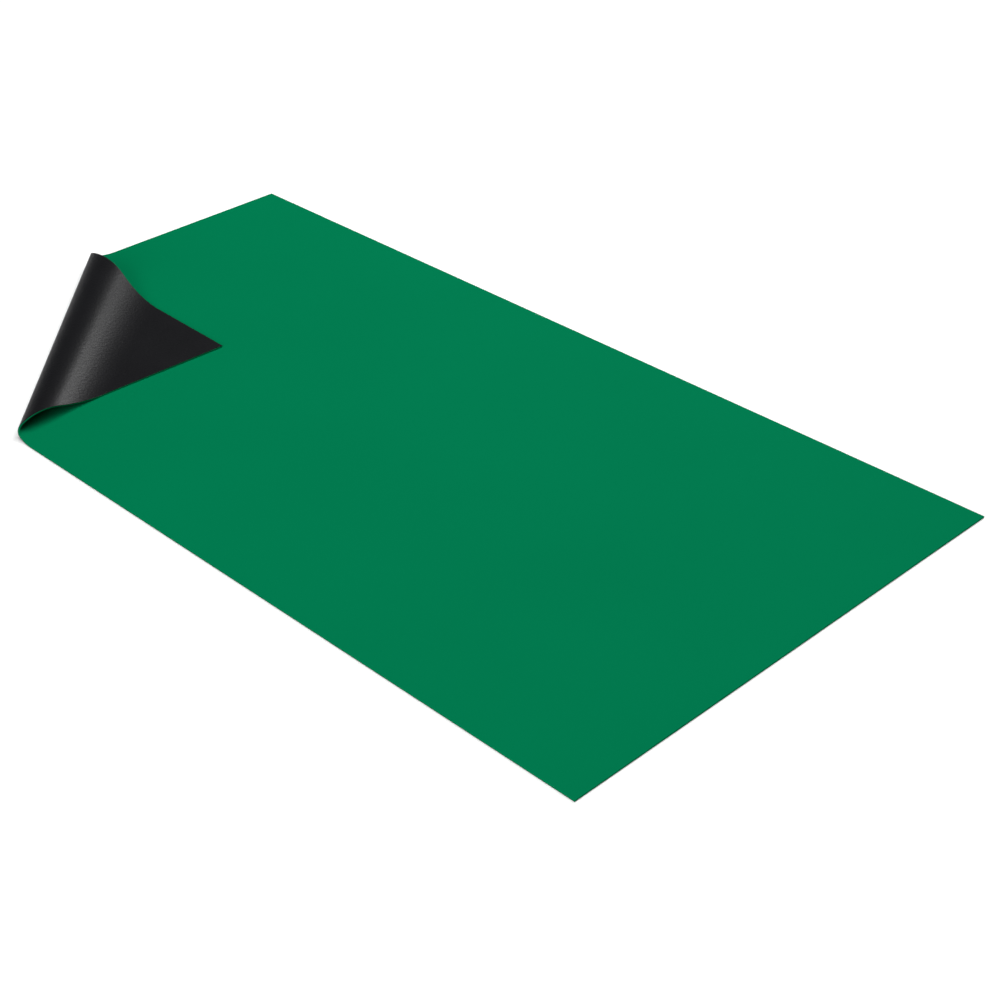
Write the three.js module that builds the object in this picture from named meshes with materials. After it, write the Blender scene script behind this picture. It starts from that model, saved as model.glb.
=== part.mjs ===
// Anti static bench mat: a thin two-layer rubber sheet lying flat, with one corner folded back in a low curl.
// Millimetres. +X along the length, +Y across the width, +Z up, origin under the middle of the sheet.

import * as THREE from 'three';

// The sheet as it is cut.
const matLength = 1200;
const matWidth = 640;
const topLayerThickness = 1.5;
const backingThickness = 0.5;

// The curl at the corner where X and Y are lowest. Its bends are measured at the middle of the thickness,
// on the line that runs from the flat corner in the fold direction. The curl grows from there towards +Y.
const foldDirection = 43.3; // degrees from +X towards +Y: the way the corner is carried
const cornerToCurl = 255; // from the flat corner to the line where the sheet leaves the bench
const liftRadius = 40; // where the sheet peels off the bench
const liftAngle = 26; // degrees
const noseInsideRadius = 5.8; // tight roll at the outer end of the curl
const crownRadius = 40; // easy bend over the top and down
const crownAngle = 65; // degrees
const slopeAngle = 30; // degrees: the steepest that the flap runs down
const slopeLength = 5; // straight run at that slope
const flapClearance = 0.6; // air between the flap and the sheet under it
const curlGrowth = 0.001; // share by which the curl grows for each millimetre along the fold
const sheetTakenUp = 1.116; // millimetres of flat corner to each millimetre of curl, as photographed

// How finely the bends are cut into flat strips.
const noseStep = 9; // degrees to a strip
const bendStep = 3.5; // degrees to a strip on the wide bends

// Rubber as it looks in plain daylight.
const topLayerColour = 0x027c51;
const backingColour = 0x202022;
const topLayerRoughness = 0.85;
const backingRoughness = 0.6;

const thickness = topLayerThickness + backingThickness;
const middle = thickness / 2;
const fold = THREE.MathUtils.degToRad(foldDirection);
const foldSlope = Math.tan(fold);

// One stretch of the curl's profile: a bend (turn in degrees, positive upwards and over) or a straight run.
function bend(radius, turn, step) {
  const strips = Math.ceil(Math.abs(turn) / step);
  return { length: radius * THREE.MathUtils.degToRad(Math.abs(turn)), turn, strips };
}

function straight(length) {
  return { length, turn: 0, strips: 1 };
}

// Walks along the middle of the thickness. x runs away from the corner, rise is the height gained,
// and lean is the sheet's tilt.
function walk(stretches) {
  const stations = [{ x: 0, rise: 0, lean: 0, travelled: 0 }];
  for (const stretch of stretches) {
    const turn = THREE.MathUtils.degToRad(stretch.turn) / stretch.strips;
    const arc = stretch.length / stretch.strips;
    const chord = turn === 0 ? arc : (arc * Math.sin(turn / 2)) / (turn / 2);
    for (let strip = 0; strip < stretch.strips; strip += 1) {
      const last = stations[stations.length - 1];
      const heading = last.lean + turn / 2;
      stations.push({
        x: last.x - chord * Math.cos(heading),
        rise: last.rise + chord * Math.sin(heading),
        lean: last.lean + turn,
        travelled: last.travelled + arc,
      });
    }
  }
  return stations;
}

// The whole profile: lift, nose, crown, slope and foot. The foot is the long reverse bend that
// brings the flap down flat on the sheet, with the radius that this takes.
function curlProfile() {
  const noseAngle = 180 + slopeAngle - liftAngle - crownAngle;
  const downhill = [
    bend(liftRadius, liftAngle, bendStep),
    bend(noseInsideRadius + middle, noseAngle, noseStep),
    bend(crownRadius, crownAngle, bendStep),
    straight(slopeLength),
  ];
  const footDrop = walk(downhill).pop().rise - thickness - flapClearance;
  const footRadius = footDrop / (1 - Math.cos(THREE.MathUtils.degToRad(slopeAngle)));
  return walk([...downhill, bend(footRadius, -slopeAngle, bendStep)]);
}

const corner = new THREE.Vector2(-matLength / 2, -matWidth / 2);
const across = new THREE.Vector2(Math.cos(fold), Math.sin(fold));
const along = new THREE.Vector2(-Math.sin(fold), Math.cos(fold));

// The lines along the fold that bound the strips, from the bench to the flap. used is the flat sheet
// that each has behind it, counted from the line where the sheet leaves the bench.
function foldLines() {
  return curlProfile().map((station) => ({ ...station, used: station.travelled * sheetTakenUp }));
}

// A point of the folded sheet: side is how far it lies along the fold, level its height in the thickness.
function foldedPoint(line, side, level) {
  const size = 1 + curlGrowth * side;
  const lift = level - middle;
  const reach = cornerToCurl + line.x * size + lift * Math.sin(line.lean);
  return new THREE.Vector3(
    corner.x + across.x * reach + along.x * side,
    corner.y + across.y * reach + along.y * side,
    middle + line.rise * size + lift * Math.cos(line.lean),
  );
}

// Where a fold line meets the front and the rear edge of the sheet, whose flat corner is square.
function frontSide(line) {
  return (-(cornerToCurl - line.used) * foldSlope) / (1 - line.used * curlGrowth * foldSlope);
}

function rearSide(line) {
  return (cornerToCurl - line.used) / (foldSlope + line.used * curlGrowth);
}

// Adds the points of one level of the sheet to the list and says which is which.
function layPoints(level, points) {
  const add = (point) => points.push(point) - 1;
  const lines = foldLines();
  const flapStart = lines[lines.length - 1];
  const tipLine = { ...flapStart, x: flapStart.x + cornerToCurl - flapStart.used };
  return {
    square: [
      add(new THREE.Vector3(matLength / 2, -matWidth / 2, level)),
      add(new THREE.Vector3(matLength / 2, matWidth / 2, level)),
      add(new THREE.Vector3(-matLength / 2, matWidth / 2, level)),
    ],
    front: lines.map((line) => add(foldedPoint(line, frontSide(line), level))),
    rear: lines.map((line) => add(foldedPoint(line, rearSide(line), level))),
    tip: add(foldedPoint(tipLine, 0, level)),
  };
}

// The skin of one level: the flat part, the strips of the curl, and the flap down to its tip.
function skinOf(level) {
  const { square, front, rear, tip } = level;
  const last = front.length - 1;
  const triangles = [
    [square[0], square[1], square[2]],
    [square[0], square[2], rear[0]],
    [square[0], rear[0], front[0]],
    [front[last], rear[last], tip],
  ];
  for (let strip = 0; strip < last; strip += 1) {
    triangles.push([front[strip], rear[strip], rear[strip + 1]]);
    triangles.push([front[strip], rear[strip + 1], front[strip + 1]]);
  }
  return triangles;
}

// The cut edge: the outline at the lower level joined to the same outline at the upper one.
function rimOf(under, over) {
  const outline = (level) => [...level.square, ...level.rear, level.tip, ...level.front.toReversed()];
  const low = outline(under);
  const high = outline(over);
  return low.flatMap((point, index) => {
    const next = (index + 1) % low.length;
    return [
      [point, low[next], high[next]],
      [point, high[next], high[index]],
    ];
  });
}

// One layer of the sheet, as a closed solid between two levels of its thickness.
function layerGeometry(low, high) {
  const points = [];
  const under = layPoints(low, points);
  const over = layPoints(high, points);
  const underside = skinOf(under).map((triangle) => triangle.toReversed());
  const triangles = [...skinOf(over), ...underside, ...rimOf(under, over)];
  const geometry = new THREE.BufferGeometry().setFromPoints(points);
  geometry.setIndex(triangles.flat());
  geometry.computeVertexNormals();
  return geometry;
}

function rubber(colour, roughness) {
  return new THREE.MeshStandardMaterial({ color: colour, roughness, metalness: 0 });
}

function layer(name, low, high, material) {
  const mesh = new THREE.Mesh(layerGeometry(low, high), material);
  mesh.name = name;
  return mesh;
}

const mat = new THREE.Group();
mat.add(layer('black_backing', 0, backingThickness, rubber(backingColour, backingRoughness)));
mat.add(layer('green_top_layer', backingThickness, thickness, rubber(topLayerColour, topLayerRoughness)));

export default mat;
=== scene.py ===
import math
from bisect import bisect_right

import bmesh
import bpy
from mathutils import Matrix, Vector


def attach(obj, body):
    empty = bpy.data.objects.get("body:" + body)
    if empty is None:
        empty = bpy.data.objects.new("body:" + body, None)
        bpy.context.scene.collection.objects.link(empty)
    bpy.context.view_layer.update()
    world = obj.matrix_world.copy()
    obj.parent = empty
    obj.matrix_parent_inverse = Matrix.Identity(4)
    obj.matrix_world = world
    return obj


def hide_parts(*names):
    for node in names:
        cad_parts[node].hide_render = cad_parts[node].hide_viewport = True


# An anti static bench mat, green rubber on black, lying flat with one corner folded back in a low curl.
# Metres, with +X along the mat's length, +Y across its width and the bench at height 0.

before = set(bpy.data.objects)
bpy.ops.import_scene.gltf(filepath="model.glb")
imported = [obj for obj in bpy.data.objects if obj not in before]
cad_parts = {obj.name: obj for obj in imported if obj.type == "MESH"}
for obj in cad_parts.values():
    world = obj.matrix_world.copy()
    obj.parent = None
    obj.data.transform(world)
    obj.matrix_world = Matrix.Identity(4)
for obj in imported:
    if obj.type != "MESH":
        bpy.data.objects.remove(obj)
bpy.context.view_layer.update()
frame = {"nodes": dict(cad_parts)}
print("frame loaded:", ", ".join(frame["nodes"]))


def deselectAll():
    bpy.ops.object.select_all(action="DESELECT")


def linearColour(hexColour):  # sRGB hex to the linear colour a shader wants
    channels = [int(hexColour[i:i + 2], 16) / 255 for i in (1, 3, 5)]
    return tuple(c / 12.92 if c <= 0.04045 else ((c + 0.055) / 1.055) ** 2.4 for c in channels) + (1,)


def addNode(tree, kind, settings=None, links=None):
    node = tree.nodes.new(kind)
    for name, value in (settings or {}).items():
        if isinstance(name, str) and hasattr(node, name):
            setattr(node, name, value)
        else:
            node.inputs[name].default_value = value
    for name, source in (links or {}).items():
        tree.links.new(source, node.inputs[name])
    return node


# The sheet, flat as it is cut.
matSheet = {
    "length": 1.2,
    "width": 0.64,
    "greenLayer": 0.0015,  # working face
    "blackLayer": 0.0005,  # conductive back
    "knifeRound": 0.00015,  # the cut edge is crisp, with just enough round to catch the light
    "flatCellX": 0.06,  # how finely the flat part is divided
    "flatCellY": 0.04,
    "curlCell": 0.02,  # the same along the fold, with so many cells to each side of the corner
    "curlCells": 14,
}

sheetThickness = matSheet["greenLayer"] + matSheet["blackLayer"]
sheetMiddle = sheetThickness / 2


# The curl at the corner where X and Y are lowest.
curl = {
    "direction": 43.3,  # degrees from +X towards +Y: the way the corner is carried
    "fromCorner": 0.255,  # flat corner to the line where the sheet leaves the bench
    "liftRadius": 0.040,
    "liftAngle": 26,
    "noseInsideRadius": 0.0058,  # tight roll at the outer end
    "crownRadius": 0.040,  # easy bend over the top and down
    "crownAngle": 65,
    "slopeAngle": 30,  # the steepest that the flap runs down
    "slopeLength": 0.005,
    "clearance": 0.0006,  # air under the flap
    "growth": 1.0,  # the curl grows towards +Y by this share a metre
    "takenUp": 1.116,  # flat sheet used for each length of curl
    "noseStep": 3,  # degrees between two rulings
    "bendStep": 1.5,
    "flapStep": 0.025,
}

corner = Vector((-matSheet["length"] / 2, -matSheet["width"] / 2, 0))
foldAngle = math.radians(curl["direction"])
across = Vector((math.cos(foldAngle), math.sin(foldAngle), 0))
along = Vector((-math.sin(foldAngle), math.cos(foldAngle), 0))


def walkStretch(stations, length, turn, strips):  # goes on along a bend or a straight run, strip by strip
    turn = math.radians(turn) / strips
    arc = length / strips
    chord = arc if turn == 0 else arc * math.sin(turn / 2) / (turn / 2)
    for _ in range(strips):
        x, rise, lean, travelled = stations[-1]
        heading = lean + turn / 2
        place = (x - chord * math.cos(heading), rise + chord * math.sin(heading))
        stations.append((*place, lean + turn, travelled + arc))


def walkBend(stations, radius, turn, step):
    walkStretch(stations, radius * math.radians(abs(turn)), turn, math.ceil(abs(turn) / step))


def curlProfile():  # x, height, tilt and length travelled at each ruling, at the middle of the thickness
    stations = [(0.0, 0.0, 0.0, 0.0)]
    noseAngle = 180 + curl["slopeAngle"] - curl["liftAngle"] - curl["crownAngle"]
    walkBend(stations, curl["liftRadius"], curl["liftAngle"], curl["bendStep"])
    walkBend(stations, curl["noseInsideRadius"] + sheetMiddle, noseAngle, curl["noseStep"])
    walkBend(stations, curl["crownRadius"], curl["crownAngle"], curl["bendStep"])
    walkStretch(stations, curl["slopeLength"], 0, 4)
    footDrop = stations[-1][1] - sheetThickness - curl["clearance"]
    footRadius = footDrop / (1 - math.cos(math.radians(curl["slopeAngle"])))
    walkBend(stations, footRadius, -curl["slopeAngle"], curl["bendStep"])
    return stations


stations = curlProfile()
sheetUsed = [travelled * curl["takenUp"] for x, rise, lean, travelled in stations]
print("curl profile:", len(stations), "rulings")


def curledPlace(flat):  # where a point of the flat sheet goes when the corner is folded
    reach = (flat - corner).dot(across)
    side = (flat - corner).dot(along)
    size = 1 + curl["growth"] * side
    used = (curl["fromCorner"] - reach) / size
    if used <= 0:
        return flat.copy()
    if used >= sheetUsed[-1]:
        x, rise, lean, _ = stations[-1]
        beyond = (used - sheetUsed[-1]) * size
    else:
        i = bisect_right(sheetUsed, used) - 1
        share = (used - sheetUsed[i]) / (sheetUsed[i + 1] - sheetUsed[i])
        x, rise, lean, _ = (a + (b - a) * share for a, b in zip(stations[i], stations[i + 1]))
        beyond = 0
    lift = flat.z - sheetMiddle
    newReach = curl["fromCorner"] + x * size + beyond + lift * math.sin(lean)
    place = corner + across * newReach + along * side
    place.z = sheetMiddle + rise * size + lift * math.cos(lean)
    return place


def onCorner(place):
    return (place - corner).dot(across) < curl["fromCorner"]


def cutFaces(wanted, place, normal):  # cuts the wanted faces of the mesh being edited along a plane
    mesh = bmesh.from_edit_mesh(bpy.context.object.data)
    for face in mesh.faces:
        face.select_set(wanted(face.calc_center_median()))
    bmesh.update_edit_mesh(bpy.context.object.data)
    bpy.ops.mesh.bisect(plane_co=place, plane_no=normal, threshold=1e-7)
    bpy.ops.mesh.select_all(action="DESELECT")


def roundRim(level):  # the long cut edges at one level, left a little round by the knife
    mesh = bmesh.from_edit_mesh(bpy.context.object.data)
    for edge in mesh.edges:
        edge.select_set(all(abs(v.co.z - level) < 1e-6 for v in edge.verts))
    bmesh.update_edit_mesh(bpy.context.object.data)
    bpy.ops.mesh.bevel(offset=matSheet["knifeRound"], segments=2, affect="EDGES")
    bpy.ops.mesh.select_all(action="DESELECT")


def everywhere(place):
    return True


def offCorner(place):
    return not onCorner(place)


def divideForCurl():  # rulings of the bends, lines along the flap, and lines across the fold
    for used in sheetUsed:
        place = corner + across * (curl["fromCorner"] - used)
        wanted = everywhere if used == 0 else onCorner
        cutFaces(wanted, place, across + along * (used * curl["growth"]))
    flapLength = curl["fromCorner"] - sheetUsed[-1]
    for i in range(1, int(flapLength / curl["flapStep"])):
        cutFaces(onCorner, corner + across * (flapLength - i * curl["flapStep"]), across)
    for i in range(-matSheet["curlCells"], matSheet["curlCells"] + 1):
        cutFaces(onCorner, corner + along * (i * matSheet["curlCell"]), along)


def divideFlatPart():
    for i in range(1, round(matSheet["length"] / matSheet["flatCellX"])):
        cutFaces(offCorner, Vector((corner.x + i * matSheet["flatCellX"], 0, 0)), Vector((1, 0, 0)))
    for i in range(1, round(matSheet["width"] / matSheet["flatCellY"])):
        cutFaces(offCorner, Vector((0, corner.y + i * matSheet["flatCellY"], 0)), Vector((0, 1, 0)))


def makeLayer(name, low, high, rimLevel):
    deselectAll()
    size = (matSheet["length"], matSheet["width"], high - low)
    bpy.ops.mesh.primitive_cube_add(size=1, location=(0, 0, (low + high) / 2), scale=size)
    layer = bpy.context.object
    layer.name = layer.data.name = name
    bpy.ops.object.transform_apply(location=True, rotation=True, scale=True)
    bpy.ops.object.mode_set(mode="EDIT")
    bpy.ops.mesh.select_all(action="DESELECT")
    roundRim(rimLevel)
    divideForCurl()
    divideFlatPart()
    bpy.ops.object.mode_set(mode="OBJECT")
    # The flat place of each point is kept, for patterns that follow the sheet.
    flatPlace = layer.data.attributes.new("flatPlace", "FLOAT_VECTOR", "POINT")
    for vertex, stored in zip(layer.data.vertices, flatPlace.data):
        stored.vector = vertex.co
        vertex.co = curledPlace(vertex.co)
    bpy.ops.object.shade_smooth_by_angle(angle=math.radians(20))
    print(name, "has", len(layer.data.polygons), "faces")
    return layer


blackBack = makeLayer("black_back", 0, matSheet["blackLayer"], 0)
greenFace = makeLayer("green_face", matSheet["blackLayer"], sheetThickness, sheetThickness)


# Nitrile rubber, calendered in a sheet and cured against a matt liner: flat strong colour, no clear reflection.
greenRubber = {
    "colour": "#006c45",
    "deeperColour": "#006842",
    "toneSpread": 0.25,  # metres: slow drift of tone left by mixing
    "toneDetail": 3,
    "roughness": 0.85,
    "roughnessSpread": 0.05,
    "ior": 1.52,
    "specular": 0.005,  # fine grain scatters nearly all of the shine
    "grain": 0.0011,  # metres: the real grain is about 0.3 mm and is drawn coarser, so that it shows
    "grainDetail": 2,
    "grainDepth": 0.00003,
    "grainStrength": 0.5,
}

# Carbon-loaded rubber pressed against a fine steel belt: near black, with a broad soft sheen where it bends.
blackRubber = {
    "colour": "#0b0b0d",
    "deeperColour": "#131315",  # dust in the grain makes it greyer here and there
    "toneSpread": 0.05,
    "toneDetail": 4,
    "roughness": 0.38,
    "roughnessSpread": 0.08,
    "ior": 1.52,
    "specular": 0.14,
    "grain": 0.0036,  # metres: the real grain is about 0.5 mm and is drawn coarser, so that it shows
    "grainDetail": 3,
    "grainDepth": 0.0004,
    "grainStrength": 0.6,
}


def makeRubber(name, rubber):
    material = bpy.data.materials.new(name)
    material.use_nodes = True
    tree = material.node_tree
    shader = tree.nodes["Principled BSDF"]
    shader.inputs["IOR"].default_value = rubber["ior"]
    shader.inputs["Specular IOR Level"].default_value = rubber["specular"]
    flat = addNode(tree, "ShaderNodeAttribute", {"attribute_name": "flatPlace"})
    onSheet = {"Vector": flat.outputs["Vector"]}
    drift = addNode(tree, "ShaderNodeTexNoise",
                    {"Scale": 1 / rubber["toneSpread"], "Detail": rubber["toneDetail"]}, onSheet)
    tone = addNode(tree, "ShaderNodeMix", {"data_type": "RGBA", 6: linearColour(rubber["colour"]),
                                           7: linearColour(rubber["deeperColour"])},
                   {0: drift.outputs["Fac"]})
    tree.links.new(tone.outputs[2], shader.inputs["Base Color"])
    grain = addNode(tree, "ShaderNodeTexNoise",
                    {"Scale": 1 / rubber["grain"], "Detail": rubber["grainDetail"]}, onSheet)
    rough = addNode(tree, "ShaderNodeMapRange", {"To Min": rubber["roughness"] - rubber["roughnessSpread"],
                                                 "To Max": rubber["roughness"] + rubber["roughnessSpread"]},
                    {"Value": grain.outputs["Fac"]})
    tree.links.new(rough.outputs["Result"], shader.inputs["Roughness"])
    bump = addNode(tree, "ShaderNodeBump",
                   {"Strength": rubber["grainStrength"], "Distance": rubber["grainDepth"]},
                   {"Height": grain.outputs["Fac"]})
    tree.links.new(bump.outputs["Normal"], shader.inputs["Normal"])
    return material


greenFace.data.materials.append(makeRubber("calenderedGreenRubber", greenRubber))
blackBack.data.materials.append(makeRubber("carbonBlackRubber", blackRubber))
print("rubber finishes made")


for piece, node, slot, under in ((blackBack, "black_backing", "black_rubber", ()),
                                 (greenFace, "green_top_layer", "green_rubber", ("black_back",))):
    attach(piece, "root")
    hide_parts(node)


studio = {
    "floorSize": 6,
    "floorColour": "#f6f6f5",
    "ambient": 0.08,
    "ambientColour": "#f4f7ff",  # a little sky in it
    "backdropColour": "#ffffff",
}


def makeFloor():  # plain painted board
    deselectAll()
    bpy.ops.mesh.primitive_plane_add(size=studio["floorSize"], location=(0, 0, -0.0001))
    floor = bpy.context.object
    floor.name = "floor"
    bpy.ops.object.transform_apply(location=True, rotation=True, scale=True)
    material = bpy.data.materials.new("mattWhiteBoard")
    material.use_nodes = True
    shader = material.node_tree.nodes["Principled BSDF"]
    shader.inputs["Base Color"].default_value = linearColour(studio["floorColour"])
    shader.inputs["Roughness"].default_value = 0.9
    shader.inputs["Specular IOR Level"].default_value = 0.1
    floor.data.materials.append(material)


# The one behind gives the sheen where the flap runs down. The low one in front reaches under the curl.
softboxes = {
    "front": {"place": (1.4, -4.0, 1.9), "aim": (-0.1, -0.1, 0), "size": 2.5, "power": 165},
    "overhead": {"place": (0.0, 0.0, 3.2), "aim": (0, 0, 0), "size": 3.0, "power": 75},
    "behind": {"place": (-0.754, 2.354, 2.141), "aim": (-0.49, -0.16, 0.02), "size": 1.3, "power": 72},
}


def addSoftbox(name, box):
    deselectAll()
    bpy.ops.object.light_add(type="AREA", location=box["place"])
    light = bpy.context.object
    light.name = name
    light.rotation_euler = (Vector(box["aim"]) - Vector(box["place"])).to_track_quat("-Z", "Y").to_euler()
    light.data.size = box["size"]
    light.data.energy = box["power"]
    light.visible_camera = False


def setAmbient():  # dim air round the mat, with white paper as the backdrop that the camera sees
    world = bpy.data.worlds.new("studioAir")
    bpy.context.scene.world = world
    world.use_nodes = True
    tree = world.node_tree
    air = tree.nodes["Background"]
    air.inputs["Color"].default_value = linearColour(studio["ambientColour"])
    air.inputs["Strength"].default_value = studio["ambient"]
    backdrop = addNode(tree, "ShaderNodeBackground", {"Color": linearColour(studio["backdropColour"])})
    seen = addNode(tree, "ShaderNodeLightPath")
    shown = addNode(tree, "ShaderNodeMixShader", links={0: seen.outputs["Is Camera Ray"],
                                                        1: air.outputs["Background"],
                                                        2: backdrop.outputs["Background"]})
    tree.links.new(shown.outputs["Shader"], tree.nodes["World Output"].inputs["Surface"])


shot = {
    "place": (1.469122, -1.275121, 1.146148),
    "azimuth": 45.171,  # degrees, as the photograph was taken
    "elevation": 32.793,
    "roll": -0.165,
    "lens": 70.05,  # millimetres on a 36 mm sensor
}


def addCamera():
    deselectAll()
    bpy.ops.object.camera_add(location=shot["place"])
    camera = bpy.context.object
    camera.name = "photoCamera"
    turn = (Matrix.Rotation(math.radians(shot["azimuth"]), 3, "Z")
            @ Matrix.Rotation(math.radians(90 - shot["elevation"]), 3, "X")
            @ Matrix.Rotation(math.radians(shot["roll"]), 3, "Z"))
    camera.rotation_euler = turn.to_euler()
    camera.data.sensor_width = 36
    camera.data.lens = shot["lens"]
    bpy.context.scene.camera = camera


makeFloor()
setAmbient()
for name, box in softboxes.items():
    addSoftbox(name, box)
addCamera()
bpy.context.scene.view_settings.view_transform = "Standard"  # colours as a plain photograph keeps them
print("studio set up")
